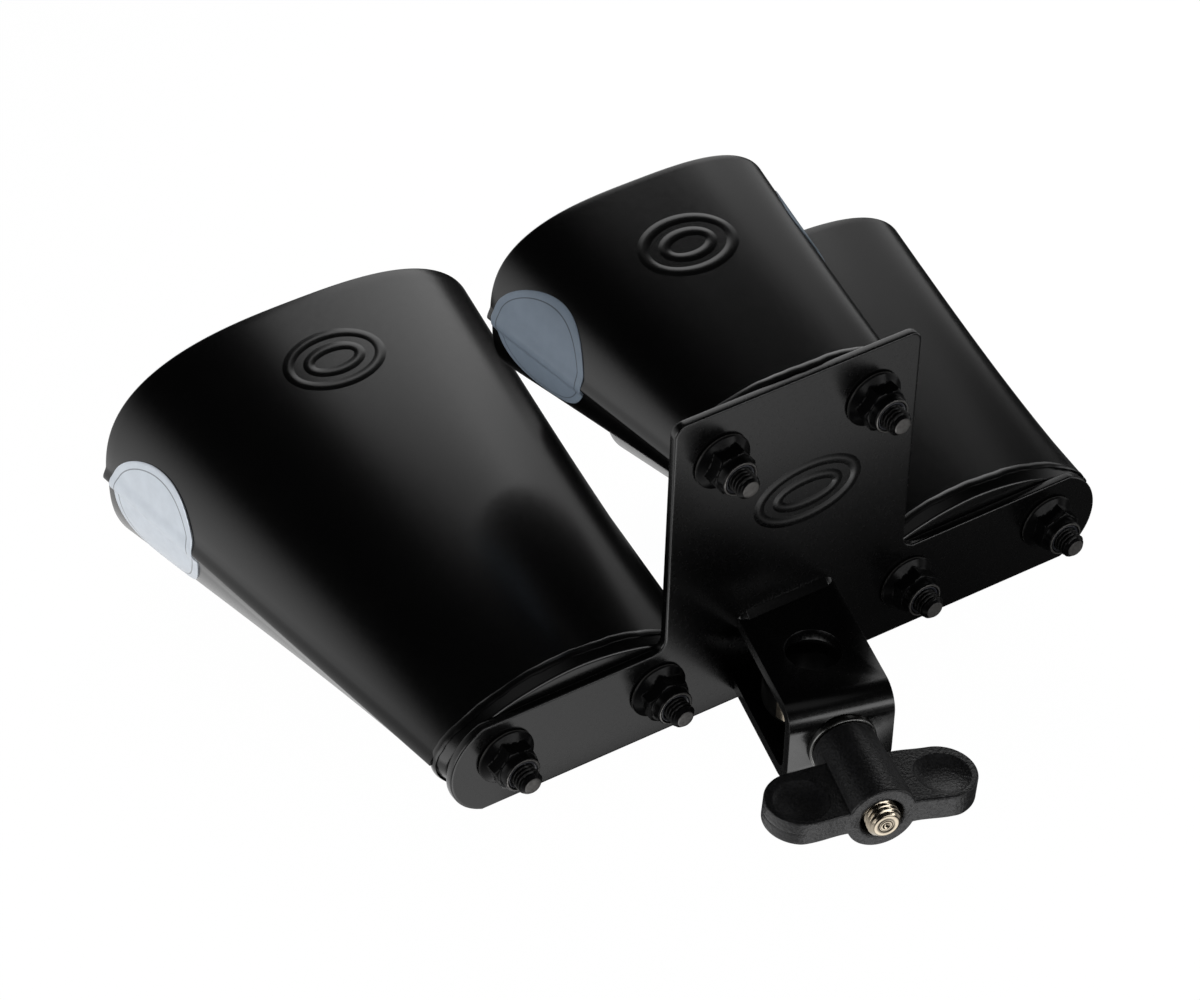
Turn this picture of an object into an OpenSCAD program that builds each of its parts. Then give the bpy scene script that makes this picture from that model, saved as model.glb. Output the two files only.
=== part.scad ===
// Triple cowbell on one steel plate, with a clamp that grips an upright rod.
// Origin: on the rod's axis, at half the clamp's height. X runs along the plate's bar,
// Y runs from the plate into the bells and out of their mouths, and Z is up.

/* [Plate] */
// Thickness of the steel plate
plate_thickness = 2.2; // [1.5:0.1:4]
// Length of the cross bar over its round ends
bar_length = 176; // [170:1:200]
// Height of the cross bar
bar_height = 24.7; // [22:0.1:27]
// Depth of the bar's lower edge below the lower bolt row
bar_drop = 14.1; // [12:0.1:15]
// Radius of the bar's end arcs
bar_end_radius = 13.3; // [13:0.1:16]
// Width of the upright tab
tab_width = 64.8; // [60:0.1:70]
// Height of the tab's top edge above the lower bolt row
tab_height = 75.3; // [72:0.1:85]
// Radius of the tab's top corners
tab_corner = 3; // [1:0.1:8]
// Radius of the inner corners between tab and bar
inner_corner = 3.4; // [1:0.1:8]

/* [Bell places] */
// Distance of the low and mid bells' middle from the plate's middle
bell_offset = 54; // [52:0.1:56]
// Height of the high bell's bolt row above the lower bolt row
row_rise = 61.3; // [58:0.1:64]
// Distance between the two bolts of a bell
bolt_spacing = 40; // [36:0.5:44]

/* [Bell sheet] */
// Thickness of the bells' sheet steel
bell_wall = 1.5; // [1:0.1:2]
// Outside radius of the bend around the closed end
end_bend = 3.4; // [2.5:0.1:4.5]
// How far the side seam's lip stands out of the bell
seam_lip = 0.8; // [0.5:0.1:2]
// Height of the side seam's lip
seam_lip_height = 1.2; // [0.8:0.1:2]
// How far the lower half is tucked in under the upper half
seam_tuck = 0.6; // [0.2:0.1:1]

/* [Low bell] */
// Length of the low bell
low_length = 123.9; // [100:0.1:140]
// Width of the low bell's mouth
low_mouth_width = 100.3; // [90:0.1:104]
// Height of the low bell's mouth
low_mouth_height = 63.4; // [50:0.1:75]
// Squareness of the low bell's mouth, where 2 is an ellipse
low_mouth_power = 2.74; // [2:0.01:4]

/* [Mid bell] */
// Length of the mid bell
mid_length = 88.2; // [70:0.1:100]
// Width of the mid bell's mouth
mid_mouth_width = 87.1; // [80:0.1:104]
// Height of the mid bell's mouth
mid_mouth_height = 55.4; // [45:0.1:70]
// Squareness of the mid bell's mouth, where 2 is an ellipse
mid_mouth_power = 2.94; // [2:0.01:4]

/* [High bell] */
// Length of the high bell
high_length = 64.6; // [50:0.1:80]
// Width of the high bell's mouth
high_mouth_width = 74.4; // [66:0.1:90]
// Height of the high bell's mouth
high_mouth_height = 47.4; // [40:0.1:54]
// Squareness of the high bell's mouth, where 2 is an ellipse
high_mouth_power = 2.96; // [2:0.01:4]

/* [Closed ends] */
// Width of the low and mid bells' closed ends
wide_end_width = 69.8; // [66:0.1:74]
// Height of the low and mid bells' closed ends
wide_end_height = 31.9; // [28:0.1:36]
// Squareness of the low and mid bells' closed ends, where 2 is an ellipse
wide_end_power = 1.8; // [1.7:0.01:4]
// Width of the high bell's closed end
high_end_width = 57.4; // [54:0.1:64]
// Height of the high bell's closed end
high_end_height = 31.3; // [28:0.1:36]
// Squareness of the high bell's closed end, where 2 is an ellipse
high_end_power = 2.5; // [1.9:0.01:4]

/* [Bolts and nuts] */
// Thread diameter of the bell bolts
bolt_d = 6; // [5:0.5:6]
// Height of the bolt heads inside the bells
bolt_head_height = 4; // [3:0.1:6]
// Width across flats of the bolt heads
bolt_head_flats = 10; // [9:0.5:12]
// How far the bolt ends stand out of the plate's front
stud_reach = 11.4; // [10:0.1:16]
// Length of the bolts' end chamfer
stud_chamfer = 0.8; // [0.3:0.1:1.5]
// Radial clearance of the bolts in the plate and the bells
hole_clearance = 0.2; // [0.1:0.05:0.5]
// Radial clearance of a plain thread in its nut
thread_clearance = 0.05; // [0.02:0.01:0.1]
// Diameter of the nuts' flange
nut_flange_d = 14.2; // [12.5:0.1:16]
// Thickness of the nuts' flange at its rim
nut_flange_thickness = 1.2; // [0.8:0.1:2]
// Width across flats of the nuts
nut_flats = 10; // [9.5:0.1:11]
// Height of the nuts from the plate to the top of the hexagon
nut_hex_height = 5.4; // [4:0.1:6]
// Diameter of the collar above the hexagon
nut_collar_d = 9; // [8.6:0.1:9.4]
// Height of the collar above the hexagon
nut_collar_height = 2.2; // [1.6:0.1:3]
// Outside diameter of the nylon locking ring in the collar
lock_ring_d = 7.8; // [7.2:0.1:8]
// Height of the nylon locking ring
lock_ring_height = 1.6; // [1:0.1:2]

/* [Clamp bracket] */
// Turn of the clamp away from square to the plate, in degrees
clamp_yaw = 13.9; // [0:0.1:20]
// Width of the bracket's strap
strap_width = 24.8; // [22:0.1:30]
// Thickness of the bracket's strap
strap_thickness = 3; // [2:0.1:4]
// Outside height of the bracket
strap_height = 22; // [20:0.1:24]
// Distance from the plate to the bracket's front face
strap_reach = 36.3; // [36:0.1:44]
// Outside radius of the bracket's bends
strap_bend = 5.8; // [5:0.1:8]
// Size of the weld between bracket and plate
weld_size = 1.6; // [1:0.1:2.5]
// Diameter of the rod holes
rod_hole_d = 13; // [10:0.1:14]
// Distance from the plate to the rod's axis
rod_reach = 17.5; // [17:0.1:18]

/* [Eye bolt] */
// Thread diameter of the eye bolt
eye_bolt_d = 8; // [7:0.5:8]
// Outside diameter of the eye
eye_d = 22; // [20:0.1:22]
// Thickness of the eye along the rod
eye_thickness = 8; // [7:0.1:12]
// Chamfer around the eye's edges
eye_chamfer = 1.6; // [0.5:0.1:2]
// How much wider the eye's hole is than the rod holes
eye_hole_allowance = 0.4; // [0.2:0.1:1]
// Radial clearance of the eye bolt in the bracket
eye_bolt_clearance = 0.4; // [0.3:0.05:1]
// How far the eye bolt's end stands out of the wing nut
eye_bolt_reach = 2.5; // [2.2:0.1:6]
// Length of the eye bolt's end chamfer
eye_bolt_chamfer = 1; // [0.5:0.1:1.5]
// Diameter of the centre mark in the eye bolt's end
centre_mark_d = 2; // [1:0.1:3]

/* [Wing nut] */
// Outside diameter of the washer
washer_d = 16; // [15:0.5:20]
// Thickness of the washer
washer_thickness = 1.6; // [1:0.1:2.5]
// Running gap between washer and wing nut
wing_nut_gap = 0.05; // [0.05:0.01:0.2]
// Diameter of the wing nut's barrel at its back
barrel_back_d = 15; // [14:0.1:16]
// Diameter of the wing nut's barrel at its front
barrel_front_d = 16.4; // [15:0.1:18]
// Length of the wing nut's barrel
barrel_length = 23.1; // [20:0.1:28]
// Span of the wings from tip to tip
wing_span = 49.4; // [44:0.1:60]
// Depth of the wings along the barrel, which is also the diameter of their round tips
wing_depth = 16.2; // [15:0.1:18]
// How far the wing tips lean forward of their roots
wing_sweep = 1; // [0:0.1:2]
// Distance from the middle of the wing tips to the barrel's front
wing_setback = 7.4; // [7:0.1:10]
// Thickness of the wings
wing_thickness = 6.2; // [5:0.1:8]
// Turn of the wing nut about its axis, in degrees
wing_turn = 3; // [-45:1:45]
// Diameter of the thumb dishes in the wings
dish_d = 13.2; // [8:0.1:14]
// Depth of the thumb dishes
dish_depth = 1.3; // [0.5:0.1:2]
// Diameter of the recess around the eye bolt's end
recess_d = 10; // [9:0.1:10.5]
// Depth of the recess around the eye bolt's end
recess_depth = 9; // [4:0.1:12]
// Outside diameter of the threaded bush in the barrel
bush_d = 11.4; // [10.6:0.1:12]

/* [Hidden] */
$fn = 96;

satin_black = "#17171a";
bolt_black = "#222226";
plastic_black = "#26262b";
nickel = "#d5d2cb";
nylon = "#3a3f4a";
brass = "#c9a24a";

// Bells as [middle X, bolt row Z, length, mouth width, height, squareness, end width, height, squareness]
low_bell = [-bell_offset, 0, low_length, low_mouth_width, low_mouth_height, low_mouth_power,
    wide_end_width, wide_end_height, wide_end_power];
mid_bell = [bell_offset, 0, mid_length, mid_mouth_width, mid_mouth_height, mid_mouth_power,
    wide_end_width, wide_end_height, wide_end_power];
high_bell = [0, row_rise, high_length, high_mouth_width, high_mouth_height, high_mouth_power,
    high_end_width, high_end_height, high_end_power];

// Sides of half a bell's section, rings around the end bend and rings along the straight flank
half_sides = 32;
bend_rings = 4;
flank_rings = 3;
// A length past a face, so that cuts go clean through it
past = 1;
bolt_hole_d = bolt_d + 2 * hole_clearance;
nut_bore_d = bolt_d + 2 * thread_clearance;
bush_bore_d = eye_bolt_d + 2 * thread_clearance;
washer_bore_d = eye_bolt_d + 2 * eye_bolt_clearance;
eye_hole_d = rod_hole_d + eye_hole_allowance;
// Places along the eye bolt, measured from the rod's axis
strap_face = strap_reach - rod_reach;
barrel_start = strap_face + washer_thickness + wing_nut_gap;
barrel_end = barrel_start + barrel_length;
wing_middle = barrel_end - wing_setback;
eye_bolt_end = barrel_end + eye_bolt_reach;
bush_length = barrel_length - recess_depth;

// From the plate's own place, with its front face at Y 0 and its lower bolt row at Z 0
module at_plate() {
    translate([rod_reach * sin(clamp_yaw), rod_reach * cos(clamp_yaw), 0]) children();
}

// From the clamp's own place, with the eye bolt pointing along -Y
module at_clamp() {
    rotate([0, 0, -clamp_yaw]) children();
}

// Turns an upright shape so that it points along the eye bolt, from a distance along it
module along_eye_bolt(start) {
    translate([0, -start, 0]) rotate([90, 0, 0]) children();
}

// Turns an upright shape so that it points out of the plate's front at one bolt of a bell
module at_bolt(bell, side, start) {
    translate([bell[0] + side * bolt_spacing / 2, start, bell[1]]) rotate([90, 0, 0]) children();
}

// Plate outline: the bar with arc ends, the tab with round corners, and round inner corners
module plate_outline() {
    bar_middle = bar_height / 2 - bar_drop;
    bar_top = bar_height - bar_drop;
    arc_middle = bar_length / 2 - bar_end_radius;
    translate([0, bar_middle]) intersection() {
        square([bar_length, bar_height], center = true);
        union() {
            square([2 * arc_middle, 2 * bar_end_radius], center = true);
            for (side = [-1, 1]) translate([side * arc_middle, 0]) circle(bar_end_radius);
        }
    }
    translate([-tab_width / 2, bar_middle]) square([tab_width, tab_height - tab_corner - bar_middle]);
    translate([tab_corner - tab_width / 2, bar_middle])
        square([tab_width - 2 * tab_corner, tab_height - bar_middle]);
    for (side = [-1, 1]) {
        translate([side * (tab_width / 2 - tab_corner), tab_height - tab_corner]) circle(tab_corner);
        translate([side * tab_width / 2, bar_top]) difference() {
            translate([-past, -past]) square(inner_corner + past);
            translate([side * inner_corner, inner_corner]) circle(inner_corner);
            translate([side > 0 ? inner_corner : -2 * inner_corner - past, -2 * past])
                square([inner_corner + past, inner_corner + 3 * past]);
        }
    }
}

module mounting_plate() {
    color(satin_black) at_plate() difference() {
        translate([0, plate_thickness, 0]) rotate([90, 0, 0])
            linear_extrude(plate_thickness) plate_outline();
        for (bell = [low_bell, mid_bell, high_bell], side = [-1, 1])
            at_bolt(bell, side, plate_thickness + past)
                cylinder(d = bolt_hole_d, h = plate_thickness + 2 * past);
    }
}

// Side view of the bracket's strap: a box with round front corners, grown by a distance
module strap_side(reach, height, bend) {
    back = -rod_reach * 2;
    translate([back, -height / 2]) square([reach - bend - back, height]);
    translate([back, bend - height / 2]) square([reach - back, height - 2 * bend]);
    for (side = [-1, 1]) translate([reach - bend, side * (height / 2 - bend)]) circle(bend);
}

// U-shaped strap, cut to lie on the plate and welded above and below
module clamp_bracket() {
    weld_length = strap_width - 2 * weld_size;
    weld_root = strap_thickness / 2;
    color(satin_black) union() {
        difference() {
            at_clamp() rotate([90, 0, -90]) linear_extrude(strap_width, center = true) difference() {
                strap_side(strap_face, strap_height, strap_bend);
                strap_side(strap_face - strap_thickness, strap_height - 2 * strap_thickness,
                    strap_bend - strap_thickness);
            }
            at_plate() translate([-tab_width, 0, -tab_height]) cube(2 * tab_height);
            cylinder(d = rod_hole_d, h = strap_height + 2 * past, center = true);
            at_clamp() along_eye_bolt(strap_face - strap_thickness - past)
                cylinder(d = washer_bore_d, h = strap_thickness + 2 * past);
        }
        at_plate() for (side = [-1, 1])
            translate([-weld_length / 2, 0, side * strap_height / 2]) rotate([90, 0, 90])
                linear_extrude(weld_length)
                    polygon([[0, -side * weld_root], [-weld_size, -side * weld_root],
                        [-weld_size, 0], [0, side * weld_size]]);
    }
}

// Points of a superellipse of half sizes a and b, between two angles
function arc_points(a, b, power, from, to, steps) = [
    for (i = [0 : steps])
        let (turn = from + (to - from) * i / steps, c = cos(turn), s = sin(turn),
            reach = pow(pow(abs(c), power) + pow(abs(s), power), -1 / power))
        [a * c * reach, b * s * reach]
];

// Half width of a superellipse at a height above its middle
function flank_x(a, b, power, z) = a * pow(1 - pow(z / b, power), 1 / power);

// Upper half of a superellipse above a height, from its right flank over the top to its left one
function upper_arc(a, b, power, z) =
    let (first = atan2(z / b, flank_x(1, b, power, z)))
    arc_points(a, b, power, first, 180 - first, half_sides);

// Upper half in section, with a seam lip on each side, and the inside that goes with it
function upper_outside(a, b, power) =
    let (out = a + seam_lip, rise = seam_lip_height)
    concat([[out, 0], [out, rise]], upper_arc(a, b, power, rise), [[-out, rise], [-out, 0]]);
function upper_inside(a, b, power) =
    let (step = seam_lip_height / 3, low_x = flank_x(a, b, power, step))
    concat([[a, 0], [low_x, step]], upper_arc(a, b, power, 2 * step), [[-low_x, step], [-a, 0]]);

// Lower half in section, outside or inside
function lower_arc(a, b, power) = arc_points(a - seam_tuck, b, power, 180, 360, half_sides);

// Straight mix of a section at the closed end and one at the mouth, at a distance from the end face
function flank_ring(bell, y, end, mouth) =
    let (share = y / bell[2])
    [for (i = [0 : len(end) - 1])
        let (point = end[i] * (1 - share) + mouth[i] * share) [point[0], y, point[1]]];

// Round ring of a bell at a distance from its end face, drawn in by an inset
function cap_ring(bell, y, inset) = flank_ring(bell, y,
    arc_points(bell[6] / 2 - inset, bell[7] / 2 - inset, bell[8], 0, 360, 2 * half_sides),
    arc_points(bell[3] / 2 - inset, bell[4] / 2 - inset, bell[5], 0, 360, 2 * half_sides));

// Rings around the closed end's bend, from the flat end outwards
function bend_sheet(bell, start, bend, inset) = [
    for (k = [0 : bend_rings]) let (turn = 90 * k / bend_rings)
        cap_ring(bell, start + bend * (1 - cos(turn)), inset + bend * (1 - sin(turn)))
];

// Half of a bell between the end cap and the mouth, from its outside and inside rings
module half_shell(outer, inner) {
    count = len(outer[0]);
    last = len(outer) - 1;
    points = concat([for (ring = outer, point = ring) point], [for (ring = inner, point = ring) point]);
    inside = (last + 1) * count;
    skins = [for (k = [0 : last - 1], i = [0 : count - 2])
        let (a = k * count + i, b = a + 1, d = a + count, c = d + 1)
        each [[a, b, c], [a, c, d], [inside + a, inside + c, inside + b], [inside + a, inside + d, inside + c]]];
    seams = [for (k = [0 : last - 1])
        let (a = k * count, b = a + count - 1, d = a + count, c = b + count)
        each [[a, d, inside + d, inside + a], [c, b, inside + b, inside + c]]];
    ends = [for (i = [0 : count - 2])
        let (a = i, b = i + 1, d = last * count + i, c = d + 1)
        each [[b, a, inside + a, inside + b], [d, c, inside + c, inside + d]]];
    polyhedron(points, concat(skins, seams, ends), convexity = 6);
}

module at_bell(bell) {
    at_plate() translate([bell[0], plate_thickness, bell[1]]) children();
}

// Distances of the rings along a bell's straight flank
function flank_places(bell) = [for (k = [0 : flank_rings]) end_bend + (bell[2] - end_bend) * k / flank_rings];

// Upper half of a bell, with the lips of both side seams
module upper_shell(bell) {
    end = [bell[6] / 2, bell[7] / 2];
    mouth = [bell[3] / 2, bell[4] / 2];
    w = bell_wall;
    color(satin_black) at_bell(bell) half_shell(
        [for (y = flank_places(bell)) flank_ring(bell, y,
            upper_outside(end[0], end[1], bell[8]), upper_outside(mouth[0], mouth[1], bell[5]))],
        [for (y = flank_places(bell)) flank_ring(bell, y,
            upper_inside(end[0] - w, end[1] - w, bell[8]), upper_inside(mouth[0] - w, mouth[1] - w, bell[5]))]);
}

// Lower half of a bell, a trough tucked in under the upper half's lips
module lower_shell(bell) {
    end = [bell[6] / 2, bell[7] / 2];
    mouth = [bell[3] / 2, bell[4] / 2];
    w = bell_wall;
    color(satin_black) at_bell(bell) half_shell(
        [for (y = flank_places(bell)) flank_ring(bell, y,
            lower_arc(end[0], end[1], bell[8]), lower_arc(mouth[0], mouth[1], bell[5]))],
        [for (y = flank_places(bell)) flank_ring(bell, y,
            lower_arc(end[0] - w, end[1] - w, bell[8]), lower_arc(mouth[0] - w, mouth[1] - w, bell[5]))]);
}

// Closed end of a bell: a flat pressed wall with a bend all around, bolted to the plate
module end_cap(bell) {
    outer = bend_sheet(bell, 0, end_bend, 0);
    inner = bend_sheet(bell, bell_wall, end_bend - bell_wall, bell_wall);
    rings = concat(outer, [for (k = [bend_rings : -1 : 0]) inner[k]]);
    sides = 2 * half_sides;
    points = [for (ring = rings, i = [0 : sides - 1]) ring[i]];
    last = (len(rings) - 1) * sides;
    skins = [for (k = [0 : len(rings) - 2], i = [0 : sides - 1])
        let (next = (i + 1) % sides, a = k * sides + i, b = k * sides + next, d = a + sides, c = b + sides)
        each [[a, b, c], [a, c, d]]];
    flats = [[for (i = [sides - 1 : -1 : 0]) i], [for (i = [0 : sides - 1]) last + i]];
    color(satin_black) difference() {
        at_bell(bell) polyhedron(points, concat(skins, flats), convexity = 6);
        at_plate() for (side = [-1, 1])
            at_bolt(bell, side, plate_thickness + bell_wall + past)
                cylinder(d = bolt_hole_d, h = bell_wall + 2 * past);
    }
}

// Hexagon bolt with its head inside a bell and its end out of the plate's front
module bell_bolt(bell, side) {
    head_seat = plate_thickness + bell_wall;
    shank = head_seat + stud_reach;
    color(bolt_black) at_plate() at_bolt(bell, side, head_seat) {
        translate([0, 0, -bolt_head_height])
            cylinder(d = bolt_head_flats / cos(30), h = bolt_head_height, $fn = 6);
        translate([0, 0, -past]) cylinder(d = bolt_d, h = shank - stud_chamfer + past);
        translate([0, 0, shank - stud_chamfer])
            cylinder(d1 = bolt_d, d2 = bolt_d - 2 * stud_chamfer, h = stud_chamfer);
    }
}

// Flange nut with a round collar that holds the locking ring
module bell_nut(bell, side) {
    total = nut_hex_height + nut_collar_height;
    color(bolt_black) at_plate() at_bolt(bell, side, 0) difference() {
        union() {
            cylinder(d = nut_flange_d, h = nut_flange_thickness);
            translate([0, 0, nut_flange_thickness])
                cylinder(d1 = nut_flange_d, d2 = nut_flats, h = nut_flange_thickness);
            cylinder(d = nut_flats / cos(30), h = nut_hex_height, $fn = 6);
            cylinder(d = nut_collar_d, h = total);
        }
        translate([0, 0, -past]) cylinder(d = nut_bore_d, h = total + 2 * past);
        translate([0, 0, total - lock_ring_height]) cylinder(d = lock_ring_d, h = lock_ring_height + past);
    }
}

// Nylon ring that grips the bolt's thread
module lock_ring(bell, side) {
    ring_start = nut_hex_height + nut_collar_height - lock_ring_height;
    color(nylon) at_plate() at_bolt(bell, side, -ring_start) difference() {
        cylinder(d = lock_ring_d, h = lock_ring_height);
        translate([0, 0, -past]) cylinder(d = nut_bore_d, h = lock_ring_height + 2 * past);
    }
}

// Eye bolt whose ring goes round the rod, with a chamfered end and a centre mark
module eye_bolt() {
    ring_half = eye_thickness / 2;
    ring_out = eye_d / 2;
    shank_start = eye_hole_d / 2;
    color(nickel) at_clamp() difference() {
        union() {
            rotate_extrude() polygon([[0, -ring_half], [ring_out - eye_chamfer, -ring_half],
                [ring_out, eye_chamfer - ring_half], [ring_out, ring_half - eye_chamfer],
                [ring_out - eye_chamfer, ring_half], [0, ring_half]]);
            along_eye_bolt(shank_start)
                cylinder(d = eye_bolt_d, h = eye_bolt_end - eye_bolt_chamfer - shank_start);
            along_eye_bolt(eye_bolt_end - eye_bolt_chamfer)
                cylinder(d1 = eye_bolt_d, d2 = eye_bolt_d - 2 * eye_bolt_chamfer, h = eye_bolt_chamfer);
        }
        cylinder(d = eye_hole_d, h = eye_thickness + 2 * past, center = true);
        along_eye_bolt(eye_bolt_end - centre_mark_d / 2)
            cylinder(d1 = 0, d2 = 2 * centre_mark_d, h = centre_mark_d);
    }
}

module clamp_washer() {
    color(nickel) at_clamp() along_eye_bolt(strap_face) difference() {
        cylinder(d = washer_d, h = washer_thickness);
        translate([0, 0, -past]) cylinder(d = washer_bore_d, h = washer_thickness + 2 * past);
    }
}

// One wing seen from above: a straight root that runs into a round tip
module wing_outline(side) {
    tip_x = side * (wing_span - wing_depth) / 2;
    half = wing_depth / 2;
    translate([tip_x, -wing_middle]) circle(half);
    polygon([[0, half + wing_sweep - wing_middle], [tip_x, half - wing_middle],
        [tip_x, -half - wing_middle], [0, wing_sweep - half - wing_middle]]);
}

// Moulded wing nut with a tapered barrel, two wings with thumb dishes and a recess at its front
module wing_nut() {
    tip_x = (wing_span - wing_depth) / 2;
    dish_radius = (dish_d * dish_d / 4 + dish_depth * dish_depth) / (2 * dish_depth);
    dish_rise = wing_thickness / 2 - dish_depth + dish_radius;
    color(plastic_black) at_clamp() rotate([0, wing_turn, 0]) difference() {
        union() {
            along_eye_bolt(barrel_start) cylinder(d1 = barrel_back_d, d2 = barrel_front_d, h = barrel_length);
            for (side = [-1, 1])
                linear_extrude(wing_thickness, center = true) wing_outline(side);
        }
        for (side = [-1, 1], face = [-1, 1])
            translate([side * tip_x, -wing_middle, face * dish_rise]) sphere(dish_radius);
        along_eye_bolt(barrel_start - past) cylinder(d = bush_d, h = bush_length + past);
        along_eye_bolt(barrel_end - recess_depth - past) cylinder(d = recess_d, h = recess_depth + 2 * past);
    }
}

// Threaded metal bush moulded into the wing nut
module wing_nut_bush() {
    color(brass) at_clamp() along_eye_bolt(barrel_start) difference() {
        cylinder(d = bush_d, h = bush_length);
        translate([0, 0, -past]) cylinder(d = bush_bore_d, h = bush_length + 2 * past);
    }
}

mounting_plate();
clamp_bracket();
end_cap(low_bell);  // low_bell_end_cap
upper_shell(low_bell);  // low_bell_upper_shell
lower_shell(low_bell);  // low_bell_lower_shell
end_cap(mid_bell);  // mid_bell_end_cap
upper_shell(mid_bell);  // mid_bell_upper_shell
lower_shell(mid_bell);  // mid_bell_lower_shell
end_cap(high_bell);  // high_bell_end_cap
upper_shell(high_bell);  // high_bell_upper_shell
lower_shell(high_bell);  // high_bell_lower_shell
bell_bolt(low_bell, -1);  // low_bolt_left
bell_bolt(low_bell, 1);  // low_bolt_right
bell_bolt(mid_bell, -1);  // mid_bolt_left
bell_bolt(mid_bell, 1);  // mid_bolt_right
bell_bolt(high_bell, -1);  // high_bolt_left
bell_bolt(high_bell, 1);  // high_bolt_right
bell_nut(low_bell, -1);  // low_nut_left
bell_nut(low_bell, 1);  // low_nut_right
bell_nut(mid_bell, -1);  // mid_nut_left
bell_nut(mid_bell, 1);  // mid_nut_right
bell_nut(high_bell, -1);  // high_nut_left
bell_nut(high_bell, 1);  // high_nut_right
lock_ring(low_bell, -1);  // low_lock_ring_left
lock_ring(low_bell, 1);  // low_lock_ring_right
lock_ring(mid_bell, -1);  // mid_lock_ring_left
lock_ring(mid_bell, 1);  // mid_lock_ring_right
lock_ring(high_bell, -1);  // high_lock_ring_left
lock_ring(high_bell, 1);  // high_lock_ring_right
eye_bolt();
clamp_washer();
wing_nut();
wing_nut_bush();
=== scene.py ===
import bmesh
import bpy
import numpy as np
from mathutils import Matrix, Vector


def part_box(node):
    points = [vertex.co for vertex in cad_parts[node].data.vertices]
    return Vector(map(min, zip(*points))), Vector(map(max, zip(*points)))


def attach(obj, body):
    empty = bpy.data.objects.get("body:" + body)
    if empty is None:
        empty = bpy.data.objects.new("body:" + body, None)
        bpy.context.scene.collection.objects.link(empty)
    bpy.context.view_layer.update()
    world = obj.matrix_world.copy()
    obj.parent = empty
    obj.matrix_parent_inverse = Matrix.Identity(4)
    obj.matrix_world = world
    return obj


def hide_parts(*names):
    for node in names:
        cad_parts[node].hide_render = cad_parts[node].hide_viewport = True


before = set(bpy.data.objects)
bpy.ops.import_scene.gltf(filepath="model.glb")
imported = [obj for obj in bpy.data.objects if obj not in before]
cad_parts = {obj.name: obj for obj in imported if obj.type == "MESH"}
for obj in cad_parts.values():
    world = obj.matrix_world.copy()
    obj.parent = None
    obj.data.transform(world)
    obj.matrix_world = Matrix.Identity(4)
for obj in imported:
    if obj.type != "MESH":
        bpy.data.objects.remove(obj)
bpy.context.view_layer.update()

# Bells, upper and lower halves
# Each half is pressed from sheet steel, flares from the closed end to the mouth and is powder coated satin
# black; inside the coat is thinner, and greyer also as painted light so that the inside shows. The upper half
# laps over the lower one, and its edge stands out as a lip along both side seams.
MM = 0.001
plate_low, plate_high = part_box("mounting_plate")
plate_middle = (plate_low.x + plate_high.x) / 2 / MM
plate_front = plate_low.y / MM
plate_back = plate_high.y / MM
sheet = 1.5
rim_round = 0.6
lip_out = 0.8
lip_high = 3.4
lip_edge = 0.5
lip_edge_back = 0.35
lower_tuck = 0.6
straight_rows = 50
bells = {
    "low": {"x": -54.0, "row": 0.0, "length": 123.9, "mouth": (100.3, 63.4, 2.74), "end": (69.8, 31.9, 1.8),
            "bend": 3.4, "bead": 3.4},
    "mid": {"x": 54.0, "row": 0.0, "length": 88.2, "mouth": (87.1, 55.4, 2.94), "end": (69.8, 31.9, 1.8),
            "bend": 3.4, "bead": 3.4},
    "high": {"x": 0.0, "row": 61.3, "length": 64.6, "mouth": (74.4, 47.4, 2.96), "end": (57.4, 28.4, 2.5),
             "bend": 1.65, "bead": 1.0},
}
for bell in bells.values():
    bell["place"] = (plate_middle + bell["x"], plate_back, bell["row"])


def smooth(share):
    """A share kept between 0 and 1 and eased at both ends: three times its square less twice its cube."""
    share = np.clip(share, 0, 1)
    return share * share * (3 - 2 * share)


lip_turn = np.linspace(0, np.pi / 2, 7)
lip_ease = np.linspace(0, 1, 14)[1:]
edge_heights = lip_edge * (1 - np.cos(lip_turn))
edge_reach = lip_out - lip_edge_back * (1 - np.sin(lip_turn))
ease_heights = lip_edge + (lip_high - lip_edge) * lip_ease
ease_reach = lip_out * (1 - smooth(lip_ease))
lip_heights = np.concatenate([edge_heights, ease_heights, [lip_high + 1.0]])
lip_reach = np.concatenate([edge_reach, ease_reach, [0.0]])
over_top = np.linspace(0, 1, 122)[1:-1]
rim_turn = np.linspace(0, np.pi / 2, 6)[1:]


def squared_ellipse(half_width, half_height, power, turn):
    """Point at a turn on the curve where |x/w| to the power plus |z/h| to the power is one."""
    c = np.cos(turn)
    s = np.sin(turn)
    reach = (np.abs(c) ** power + np.abs(s) ** power) ** (-1 / power)
    return half_width * c * reach, half_height * s * reach


def half_section(half_width, half_height, power, lip):
    """Half a bell's section: up the right flank by the lip's heights, over the top by turns, down the left.

    At height z a flank stands at w times (1 - (z/h)^p)^(1/p), pushed out by the lip there.
    """
    up = lip_heights / half_height
    side = half_width * (1 - up**power) ** (1 / power) + lip
    first = lip_heights[-1] / half_height
    start = np.arctan2(first, (1 - first**power) ** (1 / power))
    top_x, top_z = squared_ellipse(half_width, half_height, power, start + (np.pi - 2 * start) * over_top)
    heights = np.broadcast_to(lip_heights, side.shape)
    x = np.concatenate([side, top_x, -side[:, ::-1]], axis=1)
    z = np.concatenate([heights, top_z, heights[:, ::-1]], axis=1)
    return x, z


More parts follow.
